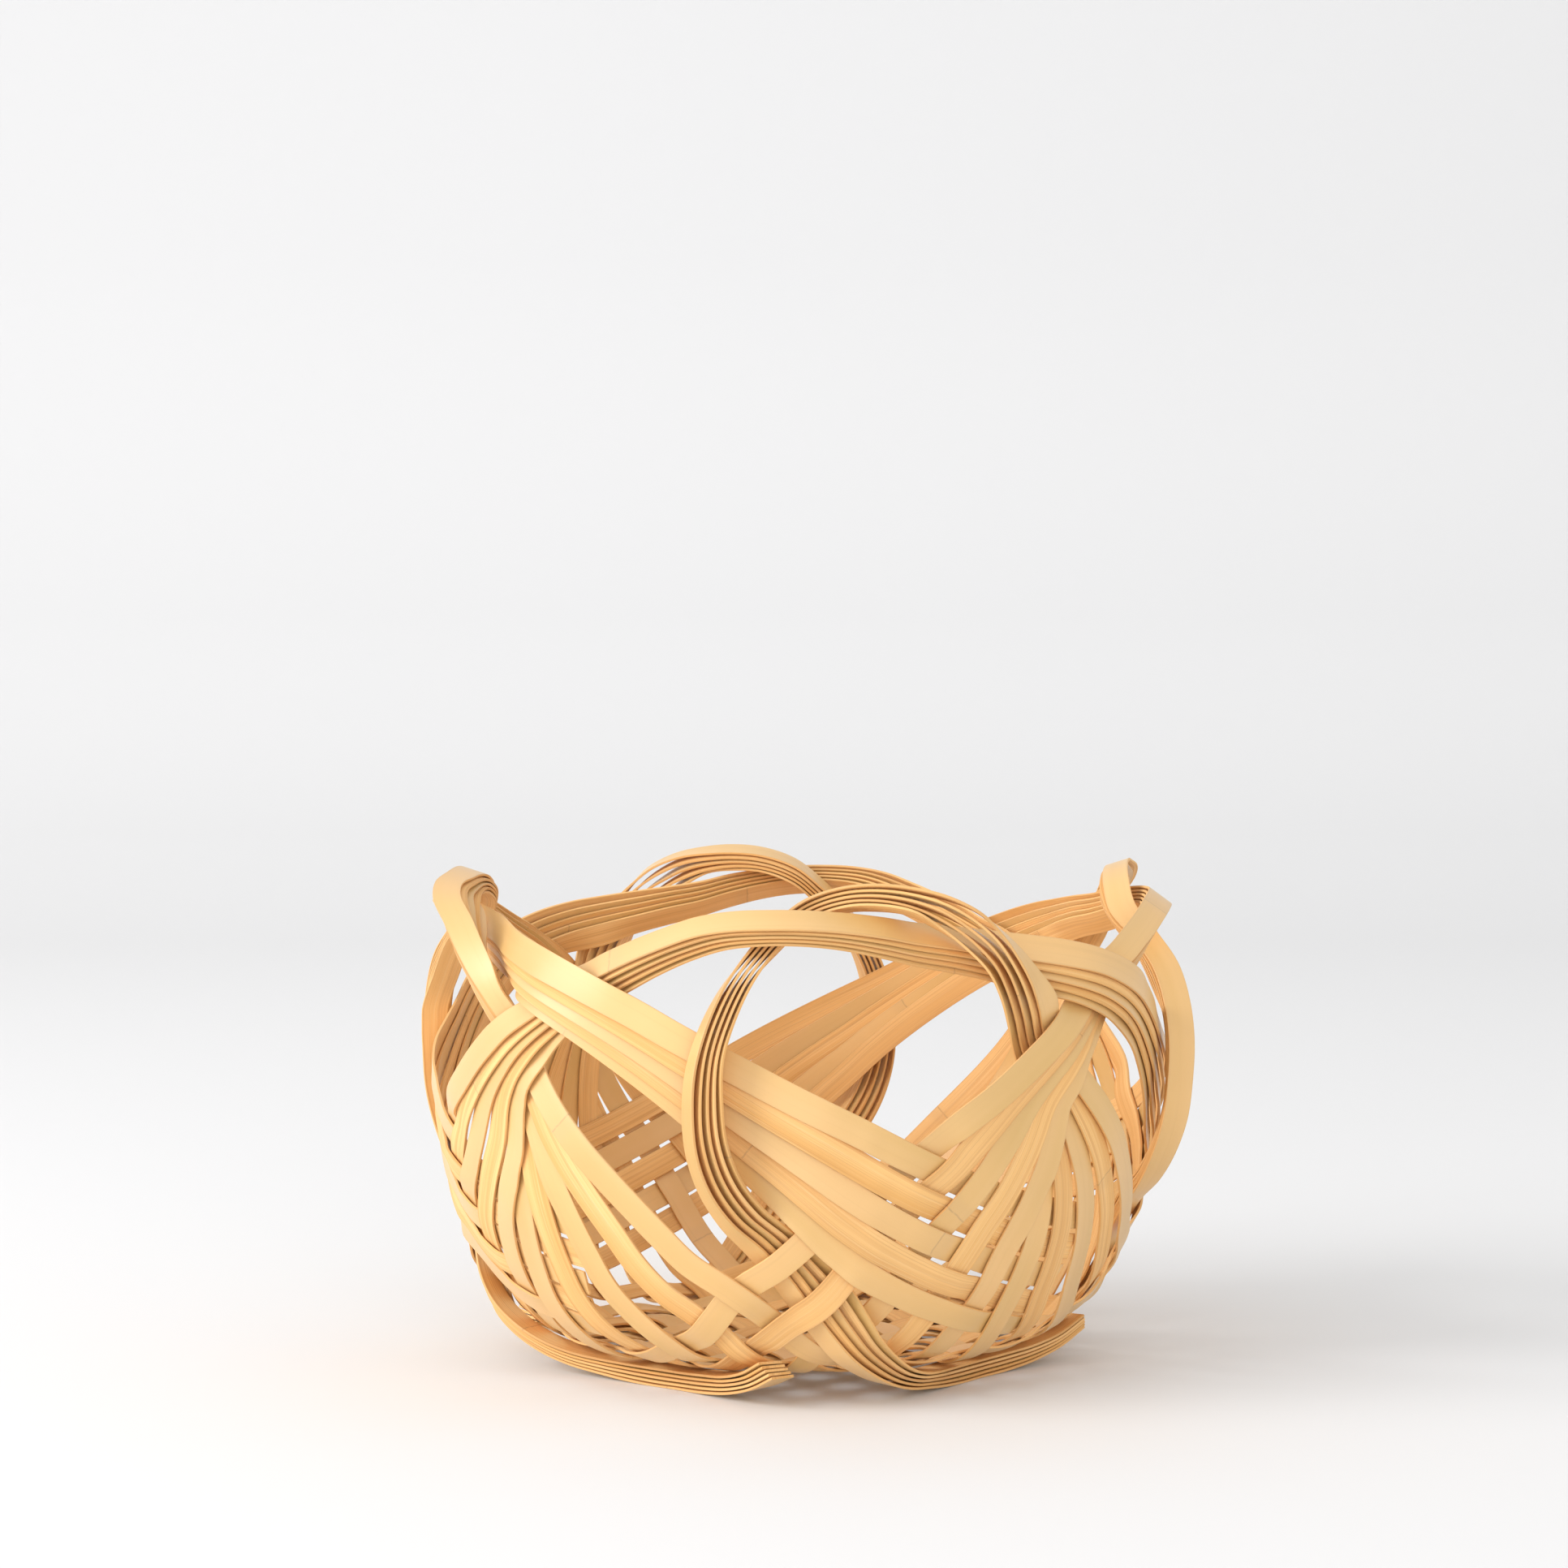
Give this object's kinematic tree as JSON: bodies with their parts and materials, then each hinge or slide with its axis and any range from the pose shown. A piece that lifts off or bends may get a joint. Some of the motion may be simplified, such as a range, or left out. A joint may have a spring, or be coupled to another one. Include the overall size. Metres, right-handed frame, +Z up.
{
  "type": "plaited bamboo basket",
  "caption": "Open round basket plaited from flat bamboo strips, with a square mat base, a woven wall, arched rim bundles and round side loops.",
  "frame": {"origin": "centre of the base, at the height of the surface it stands on", "axes": "+Z up through the open mouth; -Y towards the front quarter, whose arch rises to the right of it"},
  "size_m": [0.2334, 0.2334, 0.1551],
  "materials": {
    "skin_face": "smooth bamboo skin, satin",
    "fibre_face": "split bamboo fibre, dry matt"
  },
  "bodies": {
    "root": {"front_strip_1": "skin_face", "front_strip_2": "fibre_face", "front_strip_3": "skin_face", "front_strip_4": "fibre_face", "front_strip_5": "skin_face", "right_strip_1": "skin_face", "right_strip_2": "fibre_face", "right_strip_3": "skin_face", "right_strip_4": "fibre_face", "right_strip_5": "skin_face", "back_strip_1": "skin_face", "back_strip_2": "fibre_face", "back_strip_3": "skin_face", "back_strip_4": "fibre_face", "back_strip_5": "skin_face", "left_strip_1": "skin_face", "left_strip_2": "fibre_face", "left_strip_3": "skin_face", "left_strip_4": "fibre_face", "left_strip_5": "skin_face"}
  },
  "joints": []
}
